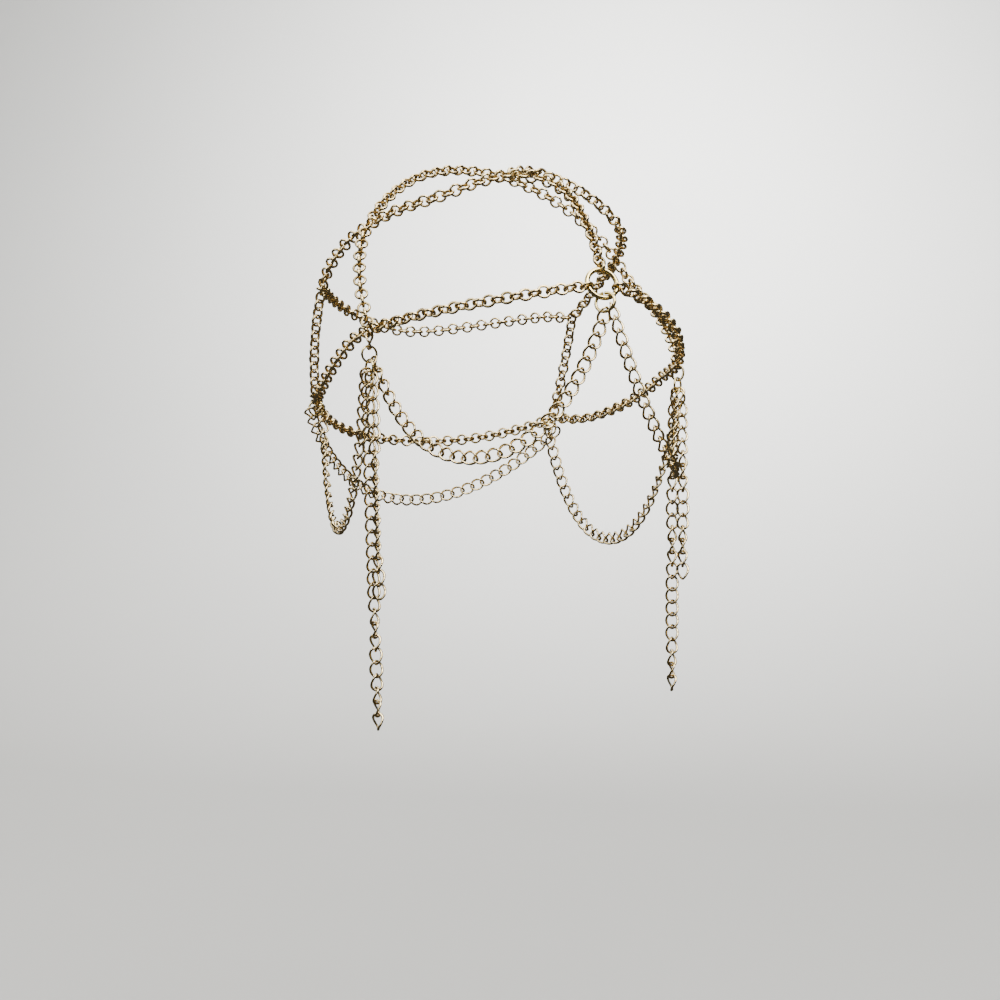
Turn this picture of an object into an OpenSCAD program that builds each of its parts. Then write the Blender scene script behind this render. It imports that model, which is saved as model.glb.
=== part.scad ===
// Hair chain: a net of belcher chain that sits on the head like a cap, with curb chain
// swags below it and two free curb strands at each temple.
// The origin is the centre of the seat, the front faces -Y and +Z is up.

/* [Seat] */
// Breadth of the net across the temples, between chain centres
seat_breadth = 159; // [150:1:176]
// Length of the net from forehead to nape, between chain centres
seat_length = 216; // [200:1:232]
// Height of the crown chains above the middle of the seat
crown_height = 81; // [72:1:90]
// Depth of the round of the seat below its middle
seat_depth = 123; // [110:1:135]
// Dip of the seat towards the forehead, in degrees
seat_dip = 21; // [12:1:28]
// Lean of the net down to the wearer's left, in degrees
worn_lean = 3.6; // [0:0.2:5]

/* [Belcher chain] */
// Outside diameter of a belcher link
belcher_od = 6.25; // [5.8:0.05:6.8]
// Wire of a belcher link
belcher_wire = 1.08; // [0.95:0.01:1.15]

/* [Curb chain] */
// Outside length of a curb link
curb_length = 8.2; // [7.8:0.1:8.6]
// Outside width of a curb link
curb_width = 6.4; // [6:0.1:6.8]
// Wire of a curb link
curb_wire = 1.14; // [1:0.01:1.2]
// Twist of a curb link from end to end, in degrees
curb_twist = 86; // [70:1:95]

/* [Rings] */
// Outside diameter of the ring on the forehead
centre_ring_od = 15.5; // [14:0.1:18]
// Wire of the ring on the forehead
centre_ring_wire = 2.2; // [1.9:0.05:2.5]
// Outside diameter of the jump ring below it
front_ring_od = 9.8; // [9:0.1:12]
// Wire of that jump ring
front_ring_wire = 1.4; // [1.1:0.05:1.6]
// Outside diameter of the jump rings at the temples
temple_ring_od = 8; // [7.8:0.1:8.6]
// Outside diameter of the jump rings at the rear corners
rear_ring_od = 8; // [7:0.1:9]
// Wire of the jump rings at the temples and rear corners
jump_ring_wire = 1; // [0.9:0.02:1.1]
// Cut in a jump ring, in degrees of its round
ring_cut = 6; // [3:1:10]
// Turn of the ring below the one on the forehead, in degrees
front_ring_turn = 42; // [30:1:60]

/* [Swags] */
// Drop of the two swags over the brow below the line between their ends
front_drop = 51.5; // [44:0.5:60]
// How rounded those two swags are, from a pointed 1 to a square 3
front_fullness = 2.6; // [1:0.1:3]
// How far their lowest part lies towards the temple
front_skew = 0.13; // [0:0.01:0.4]
// How far the round of the brow pushes them forward
front_bulge = 13; // [4:1:20]
// Drop of the two swags at the sides
side_drop = 62; // [56:1:74]
// How rounded they are
side_fullness = 2.1; // [1:0.1:3]
// How far the ears push them out
side_bulge = 2; // [0:1:10]
// Drop of the swag behind the neck
back_drop = 40; // [30:1:50]
// How rounded it is
back_fullness = 1.6; // [1:0.1:3]
// How far the neck pushes that swag back
back_bulge = 42; // [34:1:50]

/* [Tassels] */
// Twist of the link over the right tassel, in degrees
drop_twist_right = -80; // [-90:1:-60]
// Twist of the link over the left tassel, in degrees
drop_twist_left = 33; // [20:1:40]
// Links in the long strand at the right temple
long_links_right = 27; // [18:1:32]
// Links in the long strand at the left temple
long_links_left = 23; // [18:1:32]
// Links in the short strand at the right temple
short_links_right = 17; // [12:1:24]
// Links in the short strand at the left temple
short_links_left = 14; // [12:1:24]
// Distance between the two strands on their ring, centre to centre
tassel_spread = 3.6; // [3:0.1:4]
// Distance between them further down
tassel_apart = 5.3; // [4.6:0.1:6.4]
// Lean of the right strands in towards the neck, in degrees
tassel_lean_right = 1.6; // [0:0.1:3]
// Lean of the left strands
tassel_lean_left = 0.4; // [0:0.1:3]

/* [Fit] */
// Play between two links that hang on each other
play = 0.17; // [0.15:0.01:0.2]
// Gap between the end of a plain strand and the ring that it comes to
strand_gap = 0.3; // [0.2:0.05:0.6]

/* [Hidden] */

gold = "#c9a577";
pale_gold = "#d8bd8c";
right = -1;
left = 1;

// Places on the seat, as [degrees round from the forehead, degrees up], chosen by eye.
// Those off the middle are for the wearer's left and are mirrored for the right.
forehead_at = [1.2, 39.3];
temple_right_at = [-73.5, 5.5];
temple_left_at = [60, 9.5];
rear_at = [116.5, -23];
crown_front_at = [-70, 78];
crown_side_at = [102, 32];
crown_rear_at = [120, 2.5];
band_front_via = [35, 28.5];
band_side_via = [99, -17];
band_back_via = [180, -40];
front_strand_via = [[6, 60], [16, 75], [-4, 84]];
side_strand_via = [93, 24];
crown_strand_via = [112, 18];
rear_strand_via = [118.5, -10];
crown_back_via = [180, -12];
crown_cross_via = [180, 60];
arch_right_via = [[-84, 52], [-76, 66]];
arch_left_via = [[88, 50], [87, 68], [115, 84]];

// How the parts of a chain hook on each other
belcher_r = (belcher_od - belcher_wire) / 2;
belcher_pitch = belcher_od - 2 * belcher_wire - play;
curb_pitch = curb_length - 2 * curb_wire - play;
centre_r = (centre_ring_od - centre_ring_wire) / 2;
front_r = (front_ring_od - front_ring_wire) / 2;
temple_r = (temple_ring_od - jump_ring_wire) / 2;
rear_r = (rear_ring_od - jump_ring_wire) / 2;
strand_part = 0.7;  // thickness of a plain strand of the net in parts of its chain's width
swag_part = 0.5;    // and of a plain hanging strand
strand_d = belcher_od * strand_part;
swag_d = curb_width * swag_part;
tip_d = curb_wire;
tip_off = (jump_ring_wire + tip_d) / 2 + strand_gap;    // a strand's tip off a ring's wire

steps = 48;         // pieces of a sampled route
link_sides = 10;    // sections round a curb link
wire_sides = 5;     // sides of its wire
strand_sides = 8;   // sides of a plain strand
strand_step = 24;   // spacing of its rings along the seat
swag_step = 20;     // and along a hanging strand
strand_up = 0.5;    // a plain strand's sides face out and this much up, never along it
taper = curb_length; // length of the taper at its ends
roll_fast = 20;     // degrees that a swag turns from link to link, the way its links nest
roll_slow = 5;      // and the other way
settle_links = 8;   // links over which a belcher chain settles from its ring to the seat

// Vectors
function unit(v) = v / norm(v);
function turn_x(v, a) = [v.x, v.y * cos(a) - v.z * sin(a), v.y * sin(a) + v.z * cos(a)];
function turn_y(v, a) = [v.x * cos(a) + v.z * sin(a), v.y, v.z * cos(a) - v.x * sin(a)];
function turn_z(v, a) = [v.x * cos(a) - v.y * sin(a), v.x * sin(a) + v.y * cos(a), v.z];
function square_to(v, x) = unit(v - x * (v * x));
function roll(v, x, a) = v * cos(a) + cross(x, v) * sin(a);
function roll_of(v, x, from) = atan2(cross(from, v) * x, from * v);

// The seat: an ellipsoid that dips to the forehead and leans to one side
function worn(v) = turn_y(turn_x(v, seat_dip), worn_lean);
function unworn(v) = turn_x(turn_y(v, -worn_lean), -seat_dip);
function toward(a) = [cos(a[1]) * sin(a[0]), -cos(a[1]) * cos(a[0]), sin(a[1])];
function half_height(z) = z > 0 ? crown_height : seat_depth;
function seat(u) =
    let (v = unit(u))
    worn([v.x * seat_breadth / 2, v.y * seat_length / 2, v.z * half_height(v.z)]);
function seat_out(p) =
    let (q = unworn(p))
    worn(unit([q.x / pow(seat_breadth / 2, 2), q.y / pow(seat_length / 2, 2),
               q.z / pow(half_height(q.z), 2)]));
function level_out(p) = unit([p.x, p.y, 0]);
function sided(a, side) = [side * a[0], a[1]];
function spot(a, side) = seat(toward(sided(a, side)));

// A smooth curve through a list of points
function point(k, i) =
    i < 0 ? 2 * k[0] - k[1] : i >= len(k) ? 2 * k[len(k) - 1] - k[len(k) - 2] : k[i];
function spline(k, t) =
    let (x = t * (len(k) - 1), i = min(floor(x), len(k) - 2), f = x - i,
         a = point(k, i - 1), b = point(k, i), c = point(k, i + 1), d = point(k, i + 2))
    b + f * ((c - a) / 2 + f * (a - 2.5 * b + 2 * c - d / 2 + f * (1.5 * b - a / 2 - 1.5 * c + d / 2)));
function seat_route(places) =
    let (k = [for (a = places) toward(a)])
    [for (i = [0 : steps]) seat(spline(k, i / steps))];

// A hanging chain between two points: a catenary of the given fullness, skewed towards its
// second end, with a bulge that may be nearer its first end
function cosh(x) = (exp(x) + exp(-x)) / 2;
function hang(t, k, skew) =
    (1 - t) * cosh(k + skew) + t * cosh(k - skew) - cosh(k * (2 * t - 1) - skew);
function hang_route(a, b, drop, bulge, k, skew = 0, early = 0) =
    let (chord = b - a, across = unit([chord.y, -chord.x, 0]), mid = (a + b) / 2,
         out = across * sign(across * [mid.x, mid.y, 0]))
    [for (i = [0 : steps]) let (t = i / steps)
        a + t * chord + out * bulge * 4 * t * (1 - t) * (1 + early * (1 - 2 * t))
          + down * drop * hang(t, k, skew) / hang(0.5, k, skew)];

// A track is a route with its length along it: [length, x table, y table, z table]
function track(r) =
    let (run = [for (i = 0, s = 0; i < len(r);
                     s = s + (i + 1 < len(r) ? norm(r[i + 1] - r[i]) : 0), i = i + 1) s])
    concat([run[len(run) - 1]],
           [for (c = [0 : 2]) [for (i = [0 : len(r) - 1]) [run[i], r[i][c]]]]);
function on(tr, s) = [lookup(s, tr[1]), lookup(s, tr[2]), lookup(s, tr[3])];
function heading(tr, s) = unit(on(tr, s + 1) - on(tr, s - 1));

// Where the rings and corner links are
down = [0, 0, -1];
function temple_at(side) = side == right ? temple_right_at : temple_left_at;
function temple(side) = spot(temple_at(side), 1);
function rear(side) = spot(rear_at, side);
function crown_side(side) = spot(crown_side_at, side);
function crown_rear(side) = spot(crown_rear_at, side);
forehead = spot(forehead_at, 1);
crown_front = spot(crown_front_at, 1);

// A ring is [centre, axis, lowest way, middle radius, wire]
function hung_ring(at, axis, r, wire) = [at, axis, square_to(down, axis), r, wire];
function across(g) = cross(g[1], g[2]);

// Where its wire is and which way the wire runs, turned from the lowest point towards across
function on_ring(g, a) = g[0] + g[3] * radial(g, a);
function radial(g, a) = cos(a) * g[2] + sin(a) * across(g);
function wire_way(g, a) = cos(a) * across(g) - sin(a) * g[2];

// The next ring down, which hangs with its plane along the given level way
function next_ring(g, way, r, wire) =
    let (v = square_to(way, down))
    [on_ring(g, 0) + down * (r - (g[4] + wire) / 2 - play), cross(down, v), down, r, wire];

function link_ring(at) = hung_ring(at, seat_out(at), belcher_r, belcher_wire);
function plane_way(g) = square_to([g[1].x, g[1].y, 0], down);

forehead_up = 22;   // degrees that the ring on the forehead looks up
forehead_aside = 8; // and to the wearer's right
forehead_ring =
    hung_ring(forehead, turn_z(turn_x([0, -1, 0], -forehead_up), -forehead_aside),
              centre_r, centre_ring_wire);
front_ring =
    let (g = forehead_ring, low = g[2])
    [on_ring(g, 0) + low * (front_r - (g[4] + front_ring_wire) / 2 - 2 * play),
     roll(g[1], low, front_ring_turn), low, front_r, front_ring_wire];

function drop_twist(side) = side == right ? drop_twist_right : drop_twist_left;
function drop_way(side) = cross(plane_way(link_ring(temple(side))), down) * side;
function temple_drop_at(side) =
    on_ring(link_ring(temple(side)), 0) + down * hook_reach(belcher_wire, 1);
function temple_ring_of(side) =
    [temple_drop_at(side) + down * (hook_reach(jump_ring_wire, 1) + temple_r),
     roll(cross(down, drop_way(side)), down, drop_twist(side)), down, temple_r, jump_ring_wire];
function tassel_ring_of(side) =
    next_ring(temple_ring_of(side), temple_ring_of(side)[1], temple_r, jump_ring_wire);
function rear_ring_of(side) =
    next_ring(link_ring(rear(side)), plane_way(link_ring(rear(side))), rear_r, jump_ring_wire);

// How far the middle of a curb link is from the wire that it hooks on: lean is the cosine
// of the angle between the link and the ring's radius there
function hook_reach(wire, lean) =
    (curb_length - curb_wire) / 2 - ((curb_wire + wire) / 2 + play) / lean;

// One wire ring, cut on the side of x
module ring_piece(g, x, cut = 0) { ring(g[0], g[1], x, 2 * g[3] + g[4], g[4], cut); }
module ring(at, out, x, od, wire, cut = 0) {
    z = unit(out);
    u = square_to(x, z);
    v = cross(z, u);
    r = (od - wire) / 2;
    multmatrix([[u.x, v.x, z.x, at.x], [u.y, v.y, z.y, at.y], [u.z, v.z, z.z, at.z]])
        rotate([0, 0, cut / 2])
            rotate_extrude(angle = 360 - cut, $fn = 64)
                translate([r, 0]) circle(d = wire, $fn = 24);
}

// Belcher chain along a track, from a first link to a last one, each square to the next.
// A first link on a ring is moved by shift, and the links after it settle on the track.
module belcher_run(tr, first, last, shift = [0, 0, 0]) {
    span = tr[0] - first - last;
    count = 2 * ceil(span / (2 * belcher_pitch));
    for (i = [0 : count]) {
        s = first + i * span / count;
        x = heading(tr, s);
        p = on(tr, s) + shift * max(0, 1 - i / settle_links);
        out = square_to(seat_out(p), x);
        ring(p, i % 2 == 0 ? cross(x, out) : out, x, belcher_od, belcher_wire);
    }
}

// Belcher chain from the forehead ring
module forehead_run(places) {
    tr = track(seat_route(places));
    g = forehead_ring;
    first = g[3] + belcher_r - (g[4] + belcher_wire) / 2 - play;
    at = g[0] + first * square_to(on(tr, first) - g[0], g[1]);
    color(gold) belcher_run(tr, first, belcher_pitch, at - on(tr, first));
}

// Points and faces of one curb link: an oval of wire, twisted along its length
function curb_points(at, x, out, twist) =
    let (y = cross(out, x), a = (curb_length - curb_wire) / 2 / cos(180 / link_sides),
         b = (curb_width - curb_wire) / 2)
    [for (i = [0 : link_sides - 1], k = [0 : wire_sides - 1])
        let (f = (i + 0.5) * 360 / link_sides, g = k * 360 / wire_sides,
             n = unit([b * cos(f), a * sin(f)]), r = curb_wire / 2,
             u = a * cos(f) + r * cos(g) * n.x, v = b * sin(f) + r * cos(g) * n.y,
             w = turn_x([0, v, r * sin(g)], twist / 2 * u / a))
        at + x * u + y * w.y + out * w.z];
function loop_faces(base) =
    [for (i = [0 : link_sides - 1], k = [0 : wire_sides - 1])
        let (i2 = (i + 1) % link_sides, k2 = (k + 1) % wire_sides,
             q = [for (c = [[i, k], [i2, k], [i2, k2], [i, k2]]) base + c[0] * wire_sides + c[1]])
        each [[q[0], q[2], q[1]], [q[0], q[3], q[2]]]];
// Each frame is [place, heading, out]
module curb_links(frames, twist = curb_twist) {
    size = link_sides * wire_sides;
    polyhedron(points = [for (f = frames) each curb_points(f[0], f[1], f[2], twist)],
               faces = [for (j = [0 : len(frames) - 1]) each loop_faces(j * size)]);
}

// Plain strand along a track, with a ring of points every so often and a taper at each end
module strand(tr, first, last, step, d) {
    span = tr[0] - first - last;
    pieces = ceil((span - 2 * taper) / step);
    stops = concat([0], [for (j = [0 : pieces]) taper + j * (span - 2 * taper) / pieces], [span]);
    rings = len(stops) - 1;
    points = [for (j = [0 : rings])
        let (s = first + stops[j], p = on(tr, s), x = heading(tr, s),
             out = square_to(level_out(p) - strand_up * down, x), y = cross(x, out),
             r = (j == 0 || j == rings ? tip_d : d) / 2)
        for (k = [0 : strand_sides - 1])
            p + r * (cos(k * 360 / strand_sides) * out + sin(k * 360 / strand_sides) * y)];
    sides = [for (j = [0 : rings - 1], k = [0 : strand_sides - 1])
        let (k2 = (k + 1) % strand_sides,
             q = [for (c = [[j, k], [j + 1, k], [j + 1, k2], [j, k2]]) c[0] * strand_sides + c[1]])
        each [[q[0], q[1], q[2]], [q[0], q[2], q[3]]]];
    polyhedron(points = points,
               faces = concat(sides, [[for (k = [0 : strand_sides - 1]) k]],
                              [[for (k = [strand_sides - 1 : -1 : 0]) rings * strand_sides + k]]));
}

// A seat strand runs clear of the corner links at both of its ends
module seat_strand(places) {
    clear = belcher_od / 2 + strand_gap;
    color(gold) strand(track(seat_route(places)), clear, clear, strand_step, strand_d);
}

// Rings and corner links
module centre_ring() {
    color(pale_gold) ring_piece(forehead_ring, down + across(forehead_ring), ring_cut);
}
module front_jump_ring() {
    color(pale_gold) ring_piece(front_ring, -front_ring[2], ring_cut);
}
module corner_link(at) {
    color(gold) ring(at, seat_out(at), [0, 0, 1], belcher_od, belcher_wire);
}
module temple_link_right() { corner_link(temple(right)); }
module temple_link_left() { corner_link(temple(left)); }
module crown_front_link() { corner_link(crown_front); }
module crown_link_right() { corner_link(crown_side(right)); }
module crown_link_left() { corner_link(crown_side(left)); }
module crown_rear_link_right() { corner_link(crown_rear(right)); }
module crown_rear_link_left() { corner_link(crown_rear(left)); }
module rear_link_right() { corner_link(rear(right)); }
module rear_link_left() { corner_link(rear(left)); }

// The temple hardware: each piece hangs square to the one above it
module temple_drop(side) {
    twist = drop_twist(side);
    color(gold)
        curb_links([[temple_drop_at(side), down, roll(drop_way(side), down, twist / 2)]], twist);
}
module temple_ring(side) { color(pale_gold) ring_piece(temple_ring_of(side), down); }
module tassel_ring(side) { color(pale_gold) ring_piece(tassel_ring_of(side), down); }
module rear_jump_ring(side) { color(pale_gold) ring_piece(rear_ring_of(side), -down, ring_cut); }
module temple_drop_right() { temple_drop(right); }
module temple_drop_left() { temple_drop(left); }
module temple_ring_right() { temple_ring(right); }
module temple_ring_left() { temple_ring(left); }
module tassel_ring_right() { tassel_ring(right); }
module tassel_ring_left() { tassel_ring(left); }
module rear_ring_right() { rear_jump_ring(right); }
module rear_ring_left() { rear_jump_ring(left); }

// The headband
function two_sided(list, side) = [for (a = list) sided(a, side)];
module band_front(side) {
    forehead_run([forehead_at, sided(band_front_via, side), temple_at(side)]);
}
module band_front_right() { band_front(right); }
module band_front_left() { band_front(left); }
module band_side(side) {
    seat_strand([temple_at(side), sided(band_side_via, side), sided(rear_at, side)]);
}
module band_side_right() { band_side(right); }
module band_side_left() { band_side(left); }
module band_back() { seat_strand([sided(rear_at, right), band_back_via, rear_at]); }

// The crown
module front_strand() {
    forehead_run(concat([forehead_at], front_strand_via, [crown_front_at]));
}
module arch_right() {
    seat_strand(concat([sided(crown_side_at, right)], arch_right_via, [crown_front_at]));
}
module arch_left() { seat_strand(concat([crown_side_at], arch_left_via, [crown_front_at])); }
module side_strand(side) {
    seat_strand([sided(crown_side_at, side), sided(side_strand_via, side), temple_at(side)]);
}
module side_strand_right() { side_strand(right); }
module side_strand_left() { side_strand(left); }
module crown_strand(side) {
    seat_strand(two_sided([crown_side_at, crown_strand_via, crown_rear_at], side));
}
module crown_side_right() { crown_strand(right); }
module crown_side_left() { crown_strand(left); }
module rear_strand(side) {
    seat_strand(two_sided([crown_rear_at, rear_strand_via, rear_at], side));
}
module rear_strand_right() { rear_strand(right); }
module rear_strand_left() { rear_strand(left); }
module crown_back() { seat_strand([sided(crown_rear_at, right), crown_back_via, crown_rear_at]); }
module crown_cross() {
    seat_strand([sided(crown_side_at, right), crown_cross_via, crown_side_at]);
}

// Swags: a curb strand lies flat, and its end links turn to hook square on their rings.
// A hook is [ring, degrees from its lowest point].
front_hook_right = 5;
front_hook_left = 37;
temple_hook = 43;
temple_lay = 28;    // how far off square the last link on the right lies, clear of the ring below
side_hook = 60;
least_lean = 0.5;   // a swag that leaves its ring more steeply reaches no further
brow_early = 0.6;     // the bulge of the brow lies nearer the front ring
function wrap(a) = a > 110 ? a - 180 : a < -70 ? a + 180 : a;
function settle(a, links) =
    a > 0 ? max(0, a - roll_fast * links) : min(0, a + roll_slow * links);
function hooked(h, off = 0) = on_ring(h[0], h[1]) + off * radial(h[0], h[1]);
function hook_of(h, x) = hook_reach(h[0][4], max(least_lean, abs(radial(h[0], h[1]) * x)));
function end_roll(h, x, flat, bend) =
    roll_of(roll(square_to(wire_way(h[0], h[1]), x), x, bend), x, flat);
function curb_frames(tr, from, to, lay) =
    let (x1 = heading(tr, curb_pitch), x2 = heading(tr, tr[0] - curb_pitch),
         first = hook_of(from, x1), span = tr[0] - first - hook_of(to, x2),
         count = ceil(span / curb_pitch),
         end1 = wrap(end_roll(from, x1, square_to(level_out(on(tr, 0)), x1), curb_twist / 2)),
         bend2 = lay - curb_twist / 2,
         end2 = -wrap(-end_roll(to, x2, square_to(level_out(on(tr, tr[0])), x2), bend2)))
    [for (i = [0 : count])
        let (s = first + i * span / count, p = on(tr, s), x = heading(tr, s),
             flat = square_to(level_out(p), x))
        [p, x, roll(flat, x, settle(end1, i) - settle(-end2, count - i))]];
module plain_swag(from, to, drop, bulge, fullness) {
    tr = track(hang_route(hooked(from, tip_off), hooked(to, tip_off), drop, bulge, fullness));
    color(gold) strand(tr, 0, 0, swag_step, swag_d);
}
// Which way round a ring the side towards a direction lies
function hand(g, toward) = across(g) * toward > 0 ? 1 : -1;
module swag_front(side) {
    from = [front_ring, (side == right ? front_hook_right : front_hook_left)
                        * hand(front_ring, [side, 0, 0])];
    to = [temple_ring_of(side), temple_hook * temple_hand(side)];
    tr = track(hang_route(hooked(from), hooked(to), front_drop, front_bulge, front_fullness,
                          front_skew, brow_early));
    color(gold) curb_links(curb_frames(tr, from, to, side == right ? temple_lay : 0));
}
function temple_hand(side) = hand(temple_ring_of(side), forehead - temple(side));
module swag_front_right() { swag_front(right); }
module swag_front_left() { swag_front(left); }
function side_hook_of(side) =
    side == right
    ? [tassel_ring_of(side), side_hook * hand(tassel_ring_of(side), [0, 1, 0])]
    : [temple_ring_of(side), -temple_hook * temple_hand(side)];
function rear_hand(side) = hand(rear_ring_of(side), -level_out(rear(side)));
module swag_side(side) {
    plain_swag(side_hook_of(side), [rear_ring_of(side), side_hook * rear_hand(side)],
               side_drop, side_bulge, side_fullness);
}
module swag_side_right() { swag_side(right); }
module swag_side_left() { swag_side(left); }
module swag_back() {
    plain_swag([rear_ring_of(right), -side_hook * rear_hand(right)],
               [rear_ring_of(left), -side_hook * rear_hand(left)],
               back_drop, back_bulge, back_fullness);
}

// Tassels: a long strand of links and a short plain one on the same ring. They part a
// little below it, and lean in with the head. The long one is nearer the back.
tassel_hook = asin(tassel_spread / 2 / temple_r);
tassel_roll = 10;   // turn from one link to the next until the strand lies flat, in degrees
part_links = 4;     // links over which the two strands part
function tassel_lean(side) = side == right ? tassel_lean_right : tassel_lean_left;
function long_hand(side) = hand(tassel_ring_of(side), [-1, 1, 0]);
function tassel_track(side, hand, off, length) =
    let (g = tassel_ring_of(side), part = (tassel_apart - tassel_spread) / 2)
    track([for (run = [0, part_links * curb_pitch, length])
        on_ring(g, hand * tassel_hook) + down * (off + run)
            + across(g) * hand * part * min(1, run / part_links / curb_pitch)
            - [side * tan(tassel_lean(side)) * run, 0, 0]]);
module tassel_long(side) {
    links = side == right ? long_links_right : long_links_left;
    first = hook_reach(jump_ring_wire, cos(tassel_hook)) - play;
    tr = tassel_track(side, long_hand(side), first, links * curb_pitch);
    color(gold)
        curb_links([for (i = [0 : links - 1])
            let (x = heading(tr, i * curb_pitch),
                 flat = square_to(across(tassel_ring_of(side)), x))
            [on(tr, i * curb_pitch), x, roll(flat, x, max(0, curb_twist / 2 - i * tassel_roll))]]);
}
module tassel_long_right() { tassel_long(right); }
module tassel_long_left() { tassel_long(left); }
module tassel_short(side) {
    length = (side == right ? short_links_right : short_links_left) * curb_pitch;
    color(gold)
        strand(tassel_track(side, -long_hand(side), tip_off, length), 0, 0, length, swag_d);
}
module tassel_short_right() { tassel_short(right); }
module tassel_short_left() { tassel_short(left); }

centre_ring();
front_jump_ring();
temple_link_right();
temple_link_left();
temple_drop_right();
temple_drop_left();
temple_ring_right();
temple_ring_left();
tassel_ring_right();
tassel_ring_left();
crown_front_link();
crown_link_right();
crown_link_left();
crown_rear_link_right();
crown_rear_link_left();
rear_link_right();
rear_link_left();
rear_ring_right();
rear_ring_left();
band_front_right();
band_front_left();
band_side_right();
band_side_left();
band_back();
front_strand();
arch_right();
arch_left();
side_strand_right();
side_strand_left();
crown_side_right();
crown_side_left();
rear_strand_right();
rear_strand_left();
crown_back();
crown_cross();
swag_front_right();
swag_front_left();
swag_side_right();
swag_side_left();
swag_back();
tassel_long_right();
tassel_long_left();
tassel_short_right();
tassel_short_left();
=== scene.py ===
# Hair chain: belcher net, curb swags and free curb strands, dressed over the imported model.
# The chain is worked out in millimetres, as in the part's source, and becomes metres where its
# meshes are made. The studio and its lights are in metres.
import math
import random

import bpy
import numpy as np
from mathutils import Matrix


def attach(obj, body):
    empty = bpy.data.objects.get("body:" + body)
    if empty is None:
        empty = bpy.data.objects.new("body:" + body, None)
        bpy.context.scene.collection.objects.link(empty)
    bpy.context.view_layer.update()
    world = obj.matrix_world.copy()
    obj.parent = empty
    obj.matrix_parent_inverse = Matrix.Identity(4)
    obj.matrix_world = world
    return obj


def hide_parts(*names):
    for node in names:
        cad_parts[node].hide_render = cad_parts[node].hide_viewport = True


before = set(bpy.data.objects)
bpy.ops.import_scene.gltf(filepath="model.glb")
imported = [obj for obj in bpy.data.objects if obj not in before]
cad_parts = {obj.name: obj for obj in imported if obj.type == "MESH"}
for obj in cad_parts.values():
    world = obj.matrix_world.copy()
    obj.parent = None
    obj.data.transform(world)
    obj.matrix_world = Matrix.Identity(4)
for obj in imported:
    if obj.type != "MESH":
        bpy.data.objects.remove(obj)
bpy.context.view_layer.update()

mm = 0.001
right, left = -1, 1
eachSide = ((right, "right"), (left, "left"))
down = np.array([0.0, 0.0, -1.0])


# Vectors, with angles in degrees

def vec(*xyz):
    return np.array(xyz, float)


def unit(v):
    return v / np.linalg.norm(v)


def cosOf(degrees):
    return math.cos(math.radians(degrees))


def sinOf(degrees):
    return math.sin(math.radians(degrees))


def turnX(v, a):
    return vec(v[0], v[1] * cosOf(a) - v[2] * sinOf(a), v[1] * sinOf(a) + v[2] * cosOf(a))


def turnY(v, a):
    return vec(v[0] * cosOf(a) + v[2] * sinOf(a), v[1], v[2] * cosOf(a) - v[0] * sinOf(a))


def turnZ(v, a):
    return vec(v[0] * cosOf(a) - v[1] * sinOf(a), v[0] * sinOf(a) + v[1] * cosOf(a), v[2])


def squareTo(v, x):
    return unit(v - x * np.dot(v, x))


def roll(v, x, a):
    return v * cosOf(a) + np.cross(x, v) * sinOf(a)


def rollOf(v, x, start):
    return math.degrees(math.atan2(np.dot(np.cross(start, v), x), np.dot(start, v)))


def toward(place):
    # the way to a place (degrees round from the front, degrees up)
    return vec(cosOf(place[1]) * sinOf(place[0]), -cosOf(place[1]) * cosOf(place[0]),
               sinOf(place[1]))


def stand(obj, at, x, y, z):
    # a camera or light looks against its z
    turn = Matrix([[x[i], y[i], z[i], 0] for i in range(3)] + [[0, 0, 0, 1]])
    obj.matrix_world = Matrix.Translation(at) @ turn
    bpy.context.scene.collection.objects.link(obj)


# Camera at the photograph's place
camera = {
    "azimuth": -26.962,
    "elevation": 1.065,
    "roll": -0.3,
    "distance": 765.63,
    "picture": 1000,                # width and height in pixels
    "lensPixels": 1624.42,          # focal length in the same pixels
    "seatAt": (493.7, 342.694),     # where the seat's middle falls in the picture
    "sensor": 36,
    "clipStart": 0.02,              # in metres
}


def placeCamera(c):
    back = toward((c["azimuth"], c["elevation"]))
    level = vec(cosOf(c["azimuth"]), sinOf(c["azimuth"]), 0)
    up = np.cross(back, level)
    across = level * cosOf(c["roll"]) + up * sinOf(c["roll"])
    upward = up * cosOf(c["roll"]) - level * sinOf(c["roll"])
    perPixel, middle = c["distance"] / c["lensPixels"], c["picture"] / 2
    place = (back * c["distance"] - across * (c["seatAt"][0] - middle) * perPixel
             + upward * (c["seatAt"][1] - middle) * perPixel)
    data = bpy.data.cameras.new("camera")
    data.sensor_width = c["sensor"]
    data.lens = c["lensPixels"] * c["sensor"] / c["picture"]
    data.clip_start = c["clipStart"]
    obj = bpy.data.objects.new("camera", data)
    stand(obj, place * mm, across, upward, back)
    bpy.context.scene.camera = obj


placeCamera(camera)
print("camera placed")


# Shader maths: Values are added, subtracted and multiplied, and each sum adds a Math node

class Value:
    def __init__(self, finish, socket):
        self.finish, self.socket = finish, socket

    def sum(self, operation, a, b):
        return self.finish.node("ShaderNodeMath", {"operation": operation}, {0: a, 1: b})

    def __add__(self, other):
        return self.sum("ADD", self, other)

    def __sub__(self, other):
        return self.sum("SUBTRACT", self, other)

    def __rsub__(self, other):
        return self.sum("SUBTRACT", other, self)

    def __mul__(self, other):
        return self.sum("MULTIPLY", self, other)

    __radd__, __rmul__ = __add__, __mul__


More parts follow.
